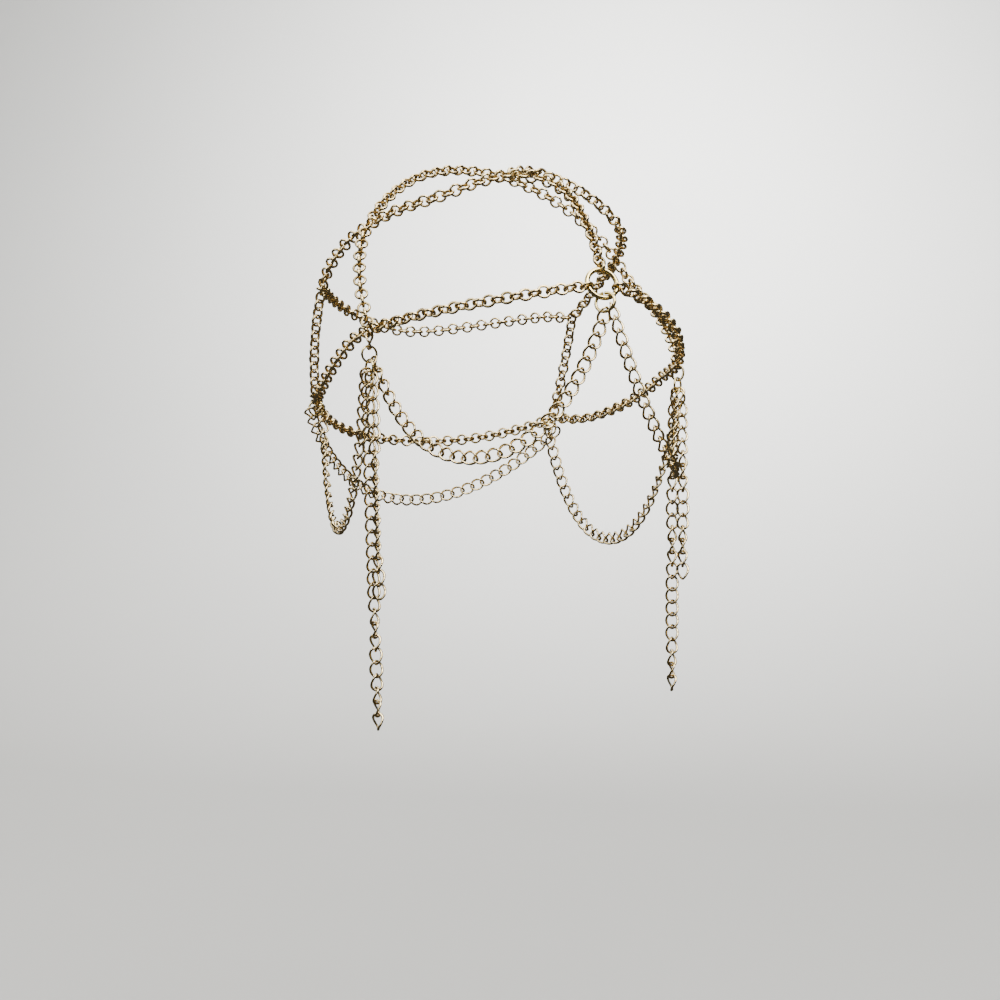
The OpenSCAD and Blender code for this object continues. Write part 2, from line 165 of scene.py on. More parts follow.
class Finish:
    def __init__(self, name):
        self.material = bpy.data.materials.new(name)
        self.material.use_nodes = True
        self.tree = self.material.node_tree
        self.tree.nodes.clear()

    def node(self, kind, settings, sockets, out=0):
        made = self.tree.nodes.new(kind)
        for key, value in settings.items():
            setattr(made, key, value)
        for key, value in sockets.items():
            if isinstance(value, Value):
                self.tree.links.new(value.socket, made.inputs[key])
            else:
                made.inputs[key].default_value = value
        return Value(self, made.outputs[out]) if len(made.outputs) else None

    def place(self):
        return self.node("ShaderNodeTexCoord", {}, {}, 3)   # on the object, in metres

    def noise(self, where, scale, detail, rough=0.5):
        return self.node("ShaderNodeTexNoise", {},
                         {"Vector": where, "Scale": scale, "Detail": detail, "Roughness": rough})

    def between(self, value, low, high):
        return self.node("ShaderNodeMapRange", {}, {0: value, 1: low, 2: high})

    def blend(self, amount, a, b):
        # 6, 7 and the output 2 are the node's colours
        return self.node("ShaderNodeMix", {"data_type": "RGBA"}, {0: amount, 6: a, 7: b}, 2)

    def attribute(self, name):
        return self.node("ShaderNodeAttribute", {"attribute_name": name}, {}, 2)

    def surface(self, sockets):
        shader = self.node("ShaderNodeBsdfPrincipled", {}, sockets)
        self.node("ShaderNodeOutputMaterial", {}, {"Surface": shader})
        return self.material


# Gold plate: polished on the crests and rougher where links rub; painted shade darkens it to brown
# on the inside of the wire and in the joint grooves, mixed with a random swirl
belcherGold = {
    "bright": (0.78, 0.625, 0.33),
    "warm": (0.66, 0.49, 0.23),
    "warmBy": (0.55, 0.45),         # a link's own tone, and the swirl
    # the dark brown that the painted shade darkens the hollows to
    "paintedShade": (0.16, 0.11, 0.045),
    "paintedShadeBy": (0.75, 0.35),         # painted shade from the inside of the wire, and the random swirl
    "paintedShadeFrom": 0.45,
    "paintedShadeDepth": 0.62,
    "roughness": 0.17,
    "roughBy": (0.06, 0.16, 0.08),  # the swirl, the hollow mask that also paints the shade, and grain add to it
    "swirl": 700,                   # tone changes over about a link
    "swirlDetail": 3,
    "swirlRange": (0.3, 0.7),
    "grain": 5200,                  # fine polishing marks
    "grainDetail": 4,
    "grainRough": 0.7,
    "bump": 0.10,
    "bumpDepth": 0.00005,           # in metres
}
curbGold = dict(belcherGold, bright=(0.80, 0.65, 0.36), warm=(0.70, 0.53, 0.26), roughness=0.15)
# rings: yellower gold, with a warmer brown for their painted shade
ringGold = dict(belcherGold, bright=(0.82, 0.67, 0.30), warm=(0.74, 0.57, 0.22),
                paintedShade=(0.20, 0.135, 0.04), roughness=0.14, swirl=420, bump=0.07)


def makeGold(name, look):
    f = Finish(name)
    where = f.place()
    inner = f.attribute("inner")
    tint = f.attribute("tint")
    swirl = f.between(f.noise(where, look["swirl"], look["swirlDetail"]), *look["swirlRange"])
    grain = f.noise(where, look["grain"], look["grainDetail"], look["grainRough"])
    warmth = tint * look["warmBy"][0] + swirl * look["warmBy"][1]
    paintedShadeAndSwirl = f.between(inner * look["paintedShadeBy"][0] + swirl * look["paintedShadeBy"][1],
                     look["paintedShadeFrom"], 1.0)
    colour = f.blend(warmth, (*look["bright"], 1), (*look["warm"], 1))
    # painted shade: the inside of the wire and the joint grooves are darkened towards a brown
    colour = f.blend(paintedShadeAndSwirl * look["paintedShadeDepth"], colour, (*look["paintedShade"], 1))
    bySwirl, byShadeMask, byGrain = look["roughBy"]
    rough = look["roughness"] + swirl * bySwirl + paintedShadeAndSwirl * byShadeMask + (grain - 0.5) * byGrain
    bump = f.node("ShaderNodeBump", {}, {"Strength": look["bump"], "Distance": look["bumpDepth"],
                                         "Height": grain})
    return f.surface({"Base Color": colour, "Metallic": 1.0, "Roughness": rough,
                      "Normal": bump})


golds = {
    "belcher_gold": makeGold("belcher_gold_plate", belcherGold),
    "curb_gold": makeGold("curb_gold_plate", curbGold),
    "ring_gold": makeGold("ring_gold_plate", ringGold),
}
print("gold finishes made")


# The seat that the net lies on, and routes over it. A place on it is (degrees round from the
# front, degrees up).
seat = {
    "breadth": 159,
    "length": 216,
    "crown": 81,        # from the middle up
    "depth": 123,       # and down
    "dip": 21,          # forward, in degrees
    "lean": 3.6,        # to the left, in degrees
}
places = {
    "forehead": (1.2, 39.3),
    "templeRight": (-73.5, 5.5),
    "templeLeft": (60, 9.5),
    "rear": (116.5, -23),
    "crownFront": (-70, 78),
    "crownSide": (102, 32),
    "crownRear": (120, 2.5),
}
routeSteps = 48


def worn(v):
    # from the seat upright to the seat as it leans
    return turnY(turnX(v, seat["dip"]), seat["lean"])


def unworn(v):
    return turnX(turnY(v, -seat["lean"]), -seat["dip"])


def halfSizes(z):
    return vec(seat["breadth"] / 2, seat["length"] / 2, seat["crown"] if z > 0 else seat["depth"])


def onSeat(u):
    v = unit(u)
    return worn(v * halfSizes(v[2]))


def seatOut(p):
    q = unworn(p)
    return worn(unit(q / halfSizes(q[2]) ** 2))


def levelOut(p):
    return unit(vec(p[0], p[1], 0))


def sided(place, side):
    return (side * place[0], place[1])


def spot(name, side=left):
    return onSeat(toward(sided(places[name], side)))


def templePlace(side):
    return places["templeRight"] if side == right else places["templeLeft"]


def temple(side):
    return onSeat(toward(templePlace(side)))


def spline(knots, t):
    before, after = 2 * knots[0] - knots[1], 2 * knots[-1] - knots[-2]
    k = [before, *knots, after]
    x = t * (len(knots) - 1)
    i = min(int(x), len(knots) - 2)
    f = x - i
    a, b, c, d = k[i:i + 4]
    return b + f * ((c - a) / 2 + f * (a - 2.5 * b + 2 * c - d / 2
                                       + f * (1.5 * b - a / 2 - 1.5 * c + d / 2)))


class Track:
    def __init__(self, points):
        self.points = np.array(points)
        steps = np.linalg.norm(np.diff(self.points, axis=0), axis=1)
        self.run = np.concatenate([[0], np.cumsum(steps)])
        self.length = self.run[-1]

    def at(self, s):
        return vec(*[np.interp(s, self.run, self.points[:, c]) for c in range(3)])

    def heading(self, s):
        # over 2 mm of the track
        return unit(self.at(s + 1) - self.at(s - 1))


def seatTrack(knots):
    k = [toward(place) for place in knots]
    return Track([onSeat(spline(k, i / routeSteps)) for i in range(routeSteps + 1)])


def sagAt(t, fullness, skew):
    # a catenary below its chord, skewed towards its second end
    return ((1 - t) * math.cosh(fullness + skew) + t * math.cosh(fullness - skew)
            - math.cosh(fullness * (2 * t - 1) - skew))


def hangTrack(a, b, shape):
    chord, mid = b - a, (a + b) / 2
    across = unit(vec(chord[1], -chord[0], 0))
    out = across * np.sign(across[0] * mid[0] + across[1] * mid[1])
    points = []
    fullness, skew = shape["fullness"], shape["skew"]
    for i in range(routeSteps + 1):
        t = i / routeSteps
        sag = sagAt(t, fullness, skew) / sagAt(0.5, fullness, skew)
        push = 4 * t * (1 - t) * (1 + shape["early"] * (1 - 2 * t))
        points.append(a + t * chord + out * shape["bulge"] * push + down * shape["drop"] * sag)
    return Track(points)


# Wire forms. Each is a grid of points: rows round the link, and points round the wire.
belcher = {
    "od": 6.25,
    "wire": 1.08,       # thickness seen face on
    "band": 1.4,        # width seen edge on
    "flat": 0.55,       # of its inside: 1 is as round as the outside, less is flatter
    "joint": 60,        # where a link is closed, in degrees round it
    "sides": 32,
    "wireSides": 10,
    "settle": 8,        # links over which a chain settles from its ring to the seat
    "jitter": 5,        # how unevenly the links lie, in degrees
}
curb = {
    "length": 8.2,
    "width": 6.4,
    "wire": 1.14,
    "twist": 86,        # degrees from one end of a link to the other
    "square": 2.25,     # 2 is an oval, more is squarer
    "joint": 95,
    "sides": 36,
    "wireSides": 10,
    "jitter": 4,
}
seam = {
    "narrow": 0.84,     # wire left at the closed joint of a link
    "turns": (-2.4, -0.7, 0.7, 2.4),    # its groove, in degrees round the link
    "shade": 2,         # how much more painted shade the groove gets than the rest
}
play = 0.17             # between one link's wire and the next
evenLinks = 3           # next to a ring, which lie more evenly than the others
sharpEdge = 50          # degrees between faces from which their edge is sharp
belcherPitch = belcher["od"] - 2 * belcher["wire"] - play
curbPitch = curb["length"] - 2 * curb["wire"] - play


def linkTurns(sides, joint):
    # angles round a link with a fine groove at its closed joint, and the wire left at each
    step = 360 / sides
    middle = (math.floor(joint / step) + 0.5) * step
    turns = [(i * step, 1.0) for i in range(sides)]
    for turn, thick in zip(seam["turns"], (1.0, seam["narrow"], seam["narrow"], 1.0)):
        turns.append((middle + turn, thick))
    turns.sort()
    return turns


def gridFaces(rows, columns, closed=True):
    faces = []
    for i in range(rows if closed else rows - 1):
        for k in range(columns):
            i2, k2 = (i + 1) % rows, (k + 1) % columns
            faces.append((i * columns + k, i2 * columns + k, i2 * columns + k2, i * columns + k2))
    return np.array(faces)


def innerAt(c, thick):
    # how much painted shade the gold gets here: 0 on the outside of the wire and 1 on its inside,
    # and more in a groove
    return (1 - c) / 2 + (1 - thick) * seam["shade"]


def belcherForm():
    # flat inside and round outside, as belcher wire is
    r = (belcher["od"] - belcher["wire"]) / 2
    turns = linkTurns(belcher["sides"], belcher["joint"])
    points, inner = [], []
    for turn, thick in turns:
        for k in range(belcher["wireSides"]):
            a = (k + 0.5) * 360 / belcher["wireSides"]
            c, s = cosOf(a), sinOf(a)
            squash = 1.0 if c > 0 else belcher["flat"]
            deep = math.copysign(abs(c) ** squash, c) * belcher["wire"] / 2 * thick
            wide = math.copysign(abs(s) ** (0.5 + squash / 2), s) * belcher["band"] / 2 * thick
            points.append(((r + deep) * cosOf(turn), (r + deep) * sinOf(turn), wide))
            inner.append(innerAt(c, thick))
    return np.array(points), np.array(inner), gridFaces(len(turns), belcher["wireSides"])


def ovalPoint(turn, a, b, square):
    c, s = cosOf(turn), sinOf(turn)
    return vec(a * math.copysign(abs(c) ** (2 / square), c),
               b * math.copysign(abs(s) ** (2 / square), s))


def curbForm(twist):
    # x runs along the chain, y across the link and z out of it
    a, b = (curb["length"] - curb["wire"]) / 2, (curb["width"] - curb["wire"]) / 2
    turns = linkTurns(curb["sides"], curb["joint"])
    points, inner = [], []
    for turn, thick in turns:
        here = ovalPoint(turn, a, b, curb["square"])
        way = ovalPoint(turn + 1, a, b, curb["square"]) - ovalPoint(turn - 1, a, b, curb["square"])
        out = unit(vec(way[1], -way[0]))
        for k in range(curb["wireSides"]):
            g = (k + 0.5) * 360 / curb["wireSides"]
            flat = here + out * curb["wire"] / 2 * cosOf(g) * thick
            p = turnX(vec(0, flat[1], curb["wire"] / 2 * sinOf(g) * thick),
                      twist / 2 * flat[0] / a)
            points.append((flat[0], p[1], p[2]))
            inner.append(innerAt(cosOf(g), thick))
    return np.array(points), np.array(inner), gridFaces(len(turns), curb["wireSides"])


def putPiece(name, points, faces, inner, tint, slot, node):
    # inner and tint are for the gold: how deep in its link, and so how much painted shade, and how
    # warm, each point is
    mesh = bpy.data.meshes.new(name)
    mesh.from_pydata(points * mm, [], faces)
    for label, values in (("inner", inner), ("tint", tint)):
        mesh.attributes.new(label, "FLOAT", "POINT").data.foreach_set("value", values)
    mesh.validate()
    mesh.update()
    mesh.shade_smooth()
    mesh.set_sharp_from_angle(angle=math.radians(sharpEdge))
    mesh.materials.append(golds[slot])
    obj = bpy.data.objects.new(name, mesh)
    bpy.context.scene.collection.objects.link(obj)
    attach(obj, "root")
    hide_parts(node)


def putLinks(name, form, frames, slot, node):
    # one piece from many copies of a form; a frame is its place and its three ways
    points, inner, faces = form
    draw = random.Random(name)
    putPiece(name, np.concatenate([place + points @ np.array(ways) for place, ways in frames]),
             np.concatenate([faces + i * len(points) for i in range(len(frames))]).tolist(),
             np.tile(inner, len(frames)),
             np.repeat([draw.random() for _ in frames], len(points)), slot, node)


# Rings. Each has a centre, an axis, a way to its lowest point, a middle radius and a wire.
rings = {
    "centreOd": 15.5,
    "centreWire": 2.2,
    "frontOd": 9.8,
    "frontWire": 1.4,
    "templeOd": 8,
    "rearOd": 8,
    "jumpWire": 1,
    "tilt": (-22, -8),  # of the ring on the forehead, up and then round
    "frontTurn": 42,    # of the ring below it, round the way it hangs
    "cut": 6,           # degrees of a cut ring that are open
    "spring": 0.22,     # how far the cut ends stand apart sideways
    "springFade": 70,   # degrees from the cut by which they are level again
    "tint": 0.6,        # most of a ring's own tone
    "sides": 72,
    "wireSides": 16,
}


class Ring:
    def __init__(self, centre, axis, low, r, wire):
        self.centre, self.axis, self.low, self.r, self.wire = centre, axis, low, r, wire

    @property
    def across(self):
        return np.cross(self.axis, self.low)

    def radial(self, a):
        return self.low * cosOf(a) + self.across * sinOf(a)

    def wireAt(self, a):
        return self.centre + self.r * self.radial(a)

    def wireWay(self, a):
        return self.across * cosOf(a) - self.low * sinOf(a)


def middleRadius(od, wire):
    return (od - wire) / 2


def hungRing(at, axis, r, wire):
    return Ring(at, axis, squareTo(down, axis), r, wire)


def nextRing(g, way, r, wire):
    # hangs from the lowest point of another, with this way in its plane
    v = squareTo(way, down)
    return Ring(g.wireAt(0) + down * (r - (g.wire + wire) / 2 - play), np.cross(down, v), down,
                r, wire)


def linkRing(at):
    return hungRing(at, seatOut(at), middleRadius(belcher["od"], belcher["wire"]), belcher["wire"])


def planeWay(g):
    return squareTo(vec(g.axis[0], g.axis[1], 0), down)


def hookReach(wire, lean):
    # from the middle of a ring's wire to the middle of the curb link hooked on it
    return (curb["length"] - curb["wire"]) / 2 - ((curb["wire"] + wire) / 2 + play) / lean


centreR = middleRadius(rings["centreOd"], rings["centreWire"])
frontR = middleRadius(rings["frontOd"], rings["frontWire"])
templeR = middleRadius(rings["templeOd"], rings["jumpWire"])
rearR = middleRadius(rings["rearOd"], rings["jumpWire"])
templeDrop = {right: -80, left: 33}     # twist of the link under each temple

foreheadRing = hungRing(
    spot("forehead"), turnZ(turnX(vec(0, -1, 0), rings["tilt"][0]), rings["tilt"][1]),
    centreR, rings["centreWire"])
frontLow = foreheadRing.low
frontRing = Ring(
    foreheadRing.wireAt(0)
    + frontLow * (frontR - (rings["centreWire"] + rings["frontWire"]) / 2 - 2 * play),
    roll(foreheadRing.axis, frontLow, rings["frontTurn"]), frontLow, frontR, rings["frontWire"])


def dropWay(side):
    return np.cross(planeWay(linkRing(temple(side))), down) * side


def templeDropAt(side):
    return linkRing(temple(side)).wireAt(0) + down * hookReach(belcher["wire"], 1)


templeRing, tasselRing, rearRing = {}, {}, {}
for side in (right, left):
    templeRing[side] = Ring(
        templeDropAt(side) + down * (hookReach(rings["jumpWire"], 1) + templeR),
        roll(np.cross(down, dropWay(side)), down, templeDrop[side]), down, templeR,
        rings["jumpWire"])
    tasselRing[side] = nextRing(templeRing[side], templeRing[side].axis, templeR,
                                rings["jumpWire"])
    rearLink = linkRing(spot("rear", side))
    rearRing[side] = nextRing(rearLink, planeWay(rearLink), rearR, rings["jumpWire"])


def ringForm(r, wire, cut):
    # a round of wire in its own plane; a cut one ends in flat faces a little to either side
    sides, around = rings["sides"], rings["wireSides"]
    points, inner = [], []
    closed = cut == 0
    rows = linkTurns(sides, 0) if closed else [
        (cut / 2 + i * (360 - cut) / sides, 1.0) for i in range(sides + 1)]
    for turn, thick in rows:
        lift = 0 if closed else rings["spring"] * (0.5 - (turn - cut / 2) / (360 - cut)) * 2
        near = min(turn, 360 - turn)
        lift *= max(0.0, 1 - near / rings["springFade"]) ** 2
        for k in range(around):
            g = k * 360 / around
            out = r + wire / 2 * cosOf(g) * thick
            points.append((out * cosOf(turn), out * sinOf(turn),
                           lift + wire / 2 * sinOf(g) * thick))
            inner.append(innerAt(cosOf(g), thick))
    faces = gridFaces(len(rows), around, closed).tolist()
    if not closed:
        faces.append(list(range(around)))
        faces.append([(len(rows) - 1) * around + k for k in reversed(range(around))])
    return np.array(points), np.array(inner), faces


def ringWays(axis, x):
    z = unit(axis)
    u = squareTo(x, z)
    return [u, np.cross(z, u), z]


def putRing(name, g, x, cut, node):
    # x is the way from the centre to the cut, or to the joint where it is closed
    points, inner, faces = ringForm(g.r, g.wire, cut)
    tint = random.Random(name).random() * rings["tint"]
    putPiece(name, g.centre + points @ np.array(ringWays(g.axis, x)), faces, inner,
             np.full(len(points), tint), "ring_gold", node)


putRing("ring_forehead", foreheadRing, down + foreheadRing.across, rings["cut"], "centre_ring")
putRing("ring_below_forehead", frontRing, -frontRing.low, rings["cut"], "front_jump_ring")
for side, word in eachSide:
    putRing("ring_temple_" + word, templeRing[side], down, 0, "temple_ring_" + word)
    putRing("ring_tassel_" + word, tasselRing[side], down, 0, "tassel_ring_" + word)
    putRing("ring_rear_" + word, rearRing[side], -down, rings["cut"], "rear_ring_" + word)
print("rings made")


# Belcher chain: each link square to the next
roundLink = belcherForm()


def uneven(draw, most, *links):
    # a small random turn, less in the links next to an end
    return draw.uniform(-1, 1) * most * min(1, *[n / evenLinks for n in links])


def belcherFrames(name, track, first, last, shift=(0, 0, 0), lay=(0, 0)):
    # lay is how the chain rolls between its ends, in degrees, at even places along it
    draw = random.Random(name)
    span = track.length - first - last
    count = 2 * math.ceil(span / (2 * belcherPitch))
    frames = []
    for i in range(count + 1):
        s = first + i * span / count
        x = track.heading(s)
        p = track.at(s) + np.array(shift) * max(0, 1 - i / belcher["settle"])
        out = squareTo(seatOut(p), x)
        turn = np.interp(i / count, np.linspace(0, 1, len(lay)), lay)
        out = roll(out, x, turn + uneven(draw, belcher["jitter"], i, count - i))
        tilt = uneven(draw, belcher["jitter"], i, count - i)
        axis = np.cross(x, out) if i % 2 == 0 else out
        x = unit(roll(x, axis, tilt))
        frames.append((p, ringWays(axis, x)))
    return frames


def putBelcher(name, node, knots, lay=(0, 0)):
    track = seatTrack(knots)
    frames = belcherFrames(name, track, belcherPitch, belcherPitch, lay=lay)
    putLinks(name, roundLink, frames, "belcher_gold", node)


def putForeheadRun(name, node, knots, lay=(0, 0)):
    # a chain whose first link hangs in the ring on the forehead
    track, g = seatTrack(knots), foreheadRing
    first = (g.r + middleRadius(belcher["od"], belcher["wire"])
             - (g.wire + belcher["wire"]) / 2 - play)
    hung = g.centre + first * squareTo(track.at(first) - g.centre, g.axis)
    frames = belcherFrames(name, track, first, belcherPitch, hung - track.at(first), lay)
    putLinks(name, roundLink, frames, "belcher_gold", node)


def putCorner(name, node, place):
    putLinks(name, roundLink, [(place, ringWays(seatOut(place), -down))], "belcher_gold", node)


def bothSided(knots, side):
    return [sided(k, side) for k in knots]


# Places that each chain passes between its ends
net = {
    "bandFront": (35, 28.5),
    "bandSide": (99, -17),
    "bandBack": (180, -40),
    "frontStrand": [(6, 60), (16, 75), (-4, 84)],
    "archRight": [(-84, 52), (-76, 66)],
    "archLeft": [(88, 50), (87, 68), (115, 84)],
    "sideStrand": (93, 24),
    "crownSide": (112, 18),
    "rearStrand": (118.5, -10),
    "crownBack": (180, -12),
    "crownCross": (180, 60),
}
# How each chain rolls on the seat from end to end; at 0 every other link lies flat
lays = {
    right: {"bandFront": (0, 0, 10, 40), "bandSide": (45, 40, 30), "sideStrand": (40, 45, 40),
            "crownSide": (40, 0, 30), "rearStrand": (40, 40)},
    left: {"bandFront": (0, 20, 42, 45), "bandSide": (45, 20), "sideStrand": (0, 20),
           "crownSide": (0, 30), "rearStrand": (10, 30)},
    "archLeft": (20, 45, 45, 20),
    "crownCross": (40, 45, 45, 20),
}
for side, word in eachSide:
    lay = lays[side]
    putForeheadRun("band_front_chain_" + word, "band_front_" + word,
                   [places["forehead"], sided(net["bandFront"], side), templePlace(side)],
                   lay["bandFront"])
    putBelcher("band_side_chain_" + word, "band_side_" + word,
               [templePlace(side), *bothSided([net["bandSide"], places["rear"]], side)],
               lay["bandSide"])
    putBelcher("side_strand_chain_" + word, "side_strand_" + word,
               [*bothSided([places["crownSide"], net["sideStrand"]], side), templePlace(side)],
               lay["sideStrand"])
    putBelcher("crown_side_chain_" + word, "crown_side_" + word,
               bothSided([places["crownSide"], net["crownSide"], places["crownRear"]], side),
               lay["crownSide"])
    putBelcher("rear_strand_chain_" + word, "rear_strand_" + word,
               bothSided([places["crownRear"], net["rearStrand"], places["rear"]], side),
               lay["rearStrand"])
    for part, place in (("temple_link_", temple(side)), ("crown_link_", spot("crownSide", side)),
                        ("crown_rear_link_", spot("crownRear", side)),
                        ("rear_link_", spot("rear", side))):
        putCorner("corner_" + part + word, part + word, place)
putCorner("corner_crown_front", "crown_front_link", spot("crownFront"))
putForeheadRun("front_strand_chain", "front_strand",
               [places["forehead"], *net["frontStrand"], places["crownFront"]])
putBelcher("band_back_chain", "band_back",
           [sided(places["rear"], right), net["bandBack"], places["rear"]])
putBelcher("arch_chain_right", "arch_right",
           [sided(places["crownSide"], right), *net["archRight"], places["crownFront"]])
putBelcher("arch_chain_left", "arch_left",
           [places["crownSide"], *net["archLeft"], places["crownFront"]], lays["archLeft"])
putBelcher("crown_back_chain", "crown_back",
           [sided(places["crownRear"], right), net["crownBack"], places["crownRear"]])
putBelcher("crown_cross_chain", "crown_cross",
           [sided(places["crownSide"], right), net["crownCross"], places["crownSide"]],
           lays["crownCross"])
print("belcher net made")


# Curb chain: swags that lie flat and hook square on their rings
curbLink = curbForm(curb["twist"])
hooks = {
    # degrees from a ring's lowest point to where a swag hooks on it
    "front": {right: 5, left: 37},
    "temple": 43,
    "side": 60,
    "lay": {right: 28, left: 0},    # extra roll of a front swag at its temple
    "rollFast": 20,                 # an end's roll goes by this from link to link one way
    "rollSlow": 5,                  # and by this the other way, where links would touch
    "rollWithin": (-70, 110),       # outside this an end's roll is taken half a turn round
    "leastLean": 0.5,               # cosine between a ring's radius and the swag
}
swags = {
    # "early" puts the bulge nearer the first end, "skew" the lowest point nearer the second
    "front": {"drop": 51.5, "fullness": 2.6, "bulge": 13, "skew": 0.13, "early": 0.6},
    "side": {"drop": 62, "fullness": 2.1, "bulge": 2, "skew": 0, "early": 0},
    "back": {"drop": 40, "fullness": 1.6, "bulge": 42, "skew": 0, "early": 0},
}


def hookOf(hook, x):
    g, a = hook
    return hookReach(g.wire, max(hooks["leastLean"], abs(np.dot(g.radial(a), x))))


def endRoll(hook, x, flat, bend):
    # how far the link on a ring rolls from flat so that the ring's wire passes square through it
    g, a = hook
    return rollOf(roll(squareTo(g.wireWay(a), x), x, bend), x, flat)


def wrap(a):
    # half a turn leaves a link the same
    low, high = hooks["rollWithin"]
    return a - 180 if a > high else a + 180 if a < low else a


def settle(a, links):
    # what is left of an end's roll some links away from it
    if a > 0:
        return max(0, a - hooks["rollFast"] * links)
    return min(0, a + hooks["rollSlow"] * links)


def curbFrames(name, track, start, end, lay):
    draw = random.Random(name)
    x1, x2 = track.heading(curbPitch), track.heading(track.length - curbPitch)
    first = hookOf(start, x1)
    span = track.length - first - hookOf(end, x2)
    count = math.ceil(span / curbPitch)
    turn1 = wrap(endRoll(start, x1, squareTo(levelOut(track.at(0)), x1), curb["twist"] / 2))
    turn2 = wrap(-endRoll(end, x2, squareTo(levelOut(track.at(track.length)), x2),
                          lay - curb["twist"] / 2))
    frames = []
    for i in range(count + 1):
        s = first + i * span / count
        p, x = track.at(s), track.heading(s)
        turn = settle(turn1, i) - settle(turn2, count - i)
        turn += uneven(draw, curb["jitter"], i, count - i)
        out = roll(squareTo(levelOut(p), x), x, turn)
        frames.append((p, [x, np.cross(out, x), out]))
    return frames


def putSwag(name, node, start, end, shape, lay=0):
    track = hangTrack(start[0].wireAt(start[1]), end[0].wireAt(end[1]), shape)
    putLinks(name, curbLink, curbFrames(name, track, start, end, lay), "curb_gold", node)


def hand(g, way):
    return 1 if np.dot(g.across, way) > 0 else -1


for side, word in eachSide:
    templeHand = hand(templeRing[side], spot("forehead") - temple(side))
    rearHand = hand(rearRing[side], -levelOut(spot("rear", side)))
    putSwag("swag_front_chain_" + word, "swag_front_" + word,
            (frontRing, hooks["front"][side] * hand(frontRing, vec(side, 0, 0))),
            (templeRing[side], hooks["temple"] * templeHand), swags["front"], hooks["lay"][side])
    sideStart = (templeRing[side], -hooks["temple"] * templeHand)
    if side == right:
        sideStart = (tasselRing[side], hooks["side"] * hand(tasselRing[side], vec(0, 1, 0)))
    putSwag("swag_side_chain_" + word, "swag_side_" + word, sideStart,
            (rearRing[side], hooks["side"] * rearHand), swags["side"])
putSwag("swag_back_chain", "swag_back",
        *[(rearRing[side], -hooks["side"] * hand(rearRing[side], -levelOut(spot("rear", side))))
          for side in (right, left)], swags["back"])
print("swags made")


# The link under each temple, and two free strands on the ring below it
tassels = {
    "spread": 3.6,          # between the two strands on their ring
    "apart": 5.3,           # and further down
    "partLinks": 4,         # links over which they part
    "settle": 10,           # roll from link to link below the ring, in degrees
    "settleLinks": 4,
    "jitter": 5,
}
strands = {
    # links, lean inward in degrees, and runs of links with their roll from link to link
    right: {"long": 27, "short": 17, "lean": 1.6,
            "longRuns": [(12, 0), (1, -15), (10, -30)],
            "shortRuns": [(3, -25), (6, 0), (7, -26)]},
    left: {"long": 23, "short": 14, "lean": 0.4,
           "longRuns": [(10, -30), (4, 0), (4, -30)],
           "shortRuns": [(9, -30)]},
}
# Degrees from the ring's lowest point to either strand
tasselHook = math.degrees(math.asin(tassels["spread"] / 2 / templeR))


def freeFrames(name, side, way, count, runs):
    draw, g = random.Random(name), tasselRing[side]
    hook = tasselHook * way * hand(g, vec(-1, 1, 0))
    first = hookReach(rings["jumpWire"], cosOf(hook)) - play
    part = (tassels["apart"] - tassels["spread"]) / 2
    knots = []
    for run in (0, tassels["partLinks"] * curbPitch, count * curbPitch):
        aside = math.copysign(part, hook) * min(1, run / tassels["partLinks"] / curbPitch)
        lean = side * math.tan(math.radians(strands[side]["lean"])) * run
        knots.append(g.wireAt(hook) + down * (first + run) + g.across * aside - vec(lean, 0, 0))
    track = Track(knots)
    steps = [-tassels["settle"]] * tassels["settleLinks"]
    steps += [step for links, step in runs for _ in range(links)]
    frames, turn = [], curb["twist"] / 2
    for i in range(count):
        s = i * curbPitch
        x = track.heading(s)
        out = roll(squareTo(g.across, x), x, turn + uneven(draw, tassels["jitter"], i))
        frames.append((track.at(s), [x, np.cross(out, x), out]))
        turn += steps[min(i, len(steps) - 1)]
    return frames


for side, word in eachSide:
    out = roll(dropWay(side), down, templeDrop[side] / 2)
    putLinks("temple_drop_link_" + word, curbForm(templeDrop[side]),
             [(templeDropAt(side), [down, np.cross(out, down), out])], "belcher_gold",
             "temple_drop_" + word)
    strand = strands[side]
    for part, way in (("long", 1), ("short", -1)):
        putLinks("tassel_" + part + "_chain_" + word, curbLink,
                 freeFrames(part + word, side, way, strand[part], strand[part + "Runs"]),
                 "curb_gold", "tassel_" + part + "_" + word)
print("free strands made")


# Studio: a pale floor that rises into a wall all round, with a painted pool of light on the wall
# behind the part, and soft lights above it
studio = {
    "floor": -0.42,
    "radius": 1.3,              # of the level floor
    "rise": 1.9,                # radius of the bend into the wall
    "wall": 3.4,                # its top
    "flatSteps": 6,
    "bendSteps": 16,
    "sides": 96,
    "pale": (0.82, 0.82, 0.805),
    # the colour that the painted falloff darkens the wall to
    "dim": (0.40, 0.40, 0.39),
    "roughness": 0.85,
    "paintedLightAt": (172, 0.2),       # painted pool of light, palest here: degrees round from the camera, and height
    "paintedLightFade": (0.5, 2.3),         # the painted light fades between these distances from there
    "cloud": 0.06,              # share of the darkening that is random cloud rather than painted falloff
    "cloudScale": 2.2,
    "cloudDetail": 3,
    "ambient": (0.22, 0.215, 0.20),
    "ambientStrength": 0.28,
}
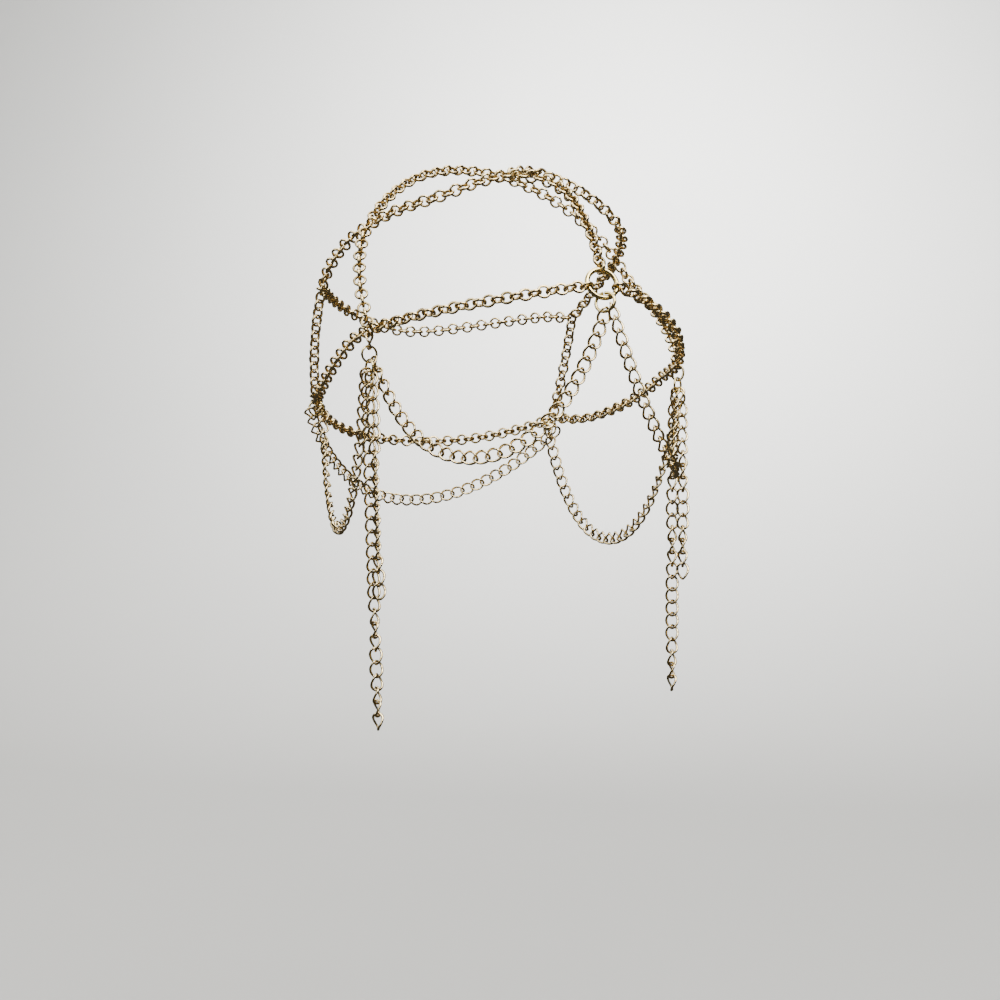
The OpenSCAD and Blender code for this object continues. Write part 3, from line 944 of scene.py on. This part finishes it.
# "around" is degrees from the camera. A light aims at the part, or at the wall at "wallHeight".
lights = {
    "key": {"around": 28, "up": 48, "distance": 1.5, "size": (1.1, 0.8), "watts": 40,
            "colour": (1.0, 0.98, 0.93)},
    "fill": {"around": -55, "up": 35, "distance": 1.7, "size": (1.2, 1.0), "watts": 16,
             "colour": (0.95, 0.97, 1.0)},
    "top": {"around": 170, "up": 68, "distance": 1.6, "size": (1.4, 1.0), "watts": 30,
            "colour": (1.0, 0.98, 0.95)},
    "back": {"around": 215, "up": 35, "distance": 2.0, "size": (0.8, 1.2), "watts": 14,
             "colour": (1.0, 0.96, 0.9)},
    "wash": {"around": 0, "up": 88, "distance": 2.6, "size": (2.6, 2.6), "watts": 40,
             "colour": (1.0, 1.0, 0.985)},
    "wallGlow": {"around": 174, "up": 33, "distance": 2.4, "size": (0.4, 0.4), "watts": 62,
                 "colour": (1.0, 1.0, 0.985), "wallHeight": -0.1},
}


def onWall(a, height):
    out = studio["radius"] + studio["rise"]
    return vec(out * sinOf(a), -out * cosOf(a), height)


def makeFloorFinish():
    s, f = studio, Finish("pale_floor")
    where = f.place()
    # painted light: the wall is palest at one spot behind the part and darkens with distance from
    # it, mixed with random cloud
    paintedLightAt = onWall(camera["azimuth"] + s["paintedLightAt"][0], s["paintedLightAt"][1])
    away = f.node("ShaderNodeVectorMath", {"operation": "DISTANCE"},
                  {0: where, 1: tuple(paintedLightAt)}, 1)
    paintedFalloffAndCloud = (f.between(away, *s["paintedLightFade"]) * (1 - s["cloud"])
               + f.noise(where, s["cloudScale"], s["cloudDetail"]) * s["cloud"])
    colour = f.blend(paintedFalloffAndCloud, (*s["pale"], 1), (*s["dim"], 1))
    return f.surface({"Base Color": colour, "Roughness": s["roughness"]})


def makeFloor():
    s, around = studio, studio["sides"]
    flat = [(s["radius"] * i / s["flatSteps"], s["floor"]) for i in range(s["flatSteps"] + 1)]
    bend = [(s["radius"] + s["rise"] * sinOf(90 * i / s["bendSteps"]),
             s["floor"] + s["rise"] * (1 - cosOf(90 * i / s["bendSteps"])))
            for i in range(1, s["bendSteps"] + 1)]
    outline = flat + bend + [(bend[-1][0], s["wall"])]
    points = [(0, 0, s["floor"])]
    for r, z in outline[1:]:
        points += [(r * cosOf(360 * k / around), r * sinOf(360 * k / around), z)
                   for k in range(around)]
    faces = [(0, 1 + k, 1 + (k + 1) % around) for k in range(around)]
    for i in range(len(outline) - 2):
        a, b = 1 + i * around, 1 + (i + 1) * around
        faces += [(a + k, b + k, b + (k + 1) % around, a + (k + 1) % around)
                  for k in range(around)]
    mesh = bpy.data.meshes.new("pale_floor")
    mesh.from_pydata(points, [], faces)
    mesh.shade_smooth()
    mesh.materials.append(makeFloorFinish())
    obj = bpy.data.objects.new("pale_floor", mesh)
    obj.visible_glossy = False      # the gold mirrors the lights and the dim room alone
    bpy.context.scene.collection.objects.link(obj)


def makeLights():
    for name, light in lights.items():
        a = camera["azimuth"] + light["around"]
        z = toward((a, light["up"]))
        at = z * light["distance"]
        if "wallHeight" in light:
            z = unit(at - onWall(a, light["wallHeight"]))
        data = bpy.data.lights.new(name, "AREA")
        data.shape = "RECTANGLE"
        data.size, data.size_y = light["size"]
        data.energy, data.color = light["watts"], light["colour"]
        x = unit(np.cross(-down, z))
        stand(bpy.data.objects.new(name, data), at, x, np.cross(z, x), z)
    world = bpy.data.worlds.new("room")
    world.use_nodes = True
    room = world.node_tree.nodes["Background"]
    room.inputs["Color"].default_value = (*studio["ambient"], 1)
    room.inputs["Strength"].default_value = studio["ambientStrength"]
    bpy.context.scene.world = world


makeFloor()
makeLights()
print("studio lit")
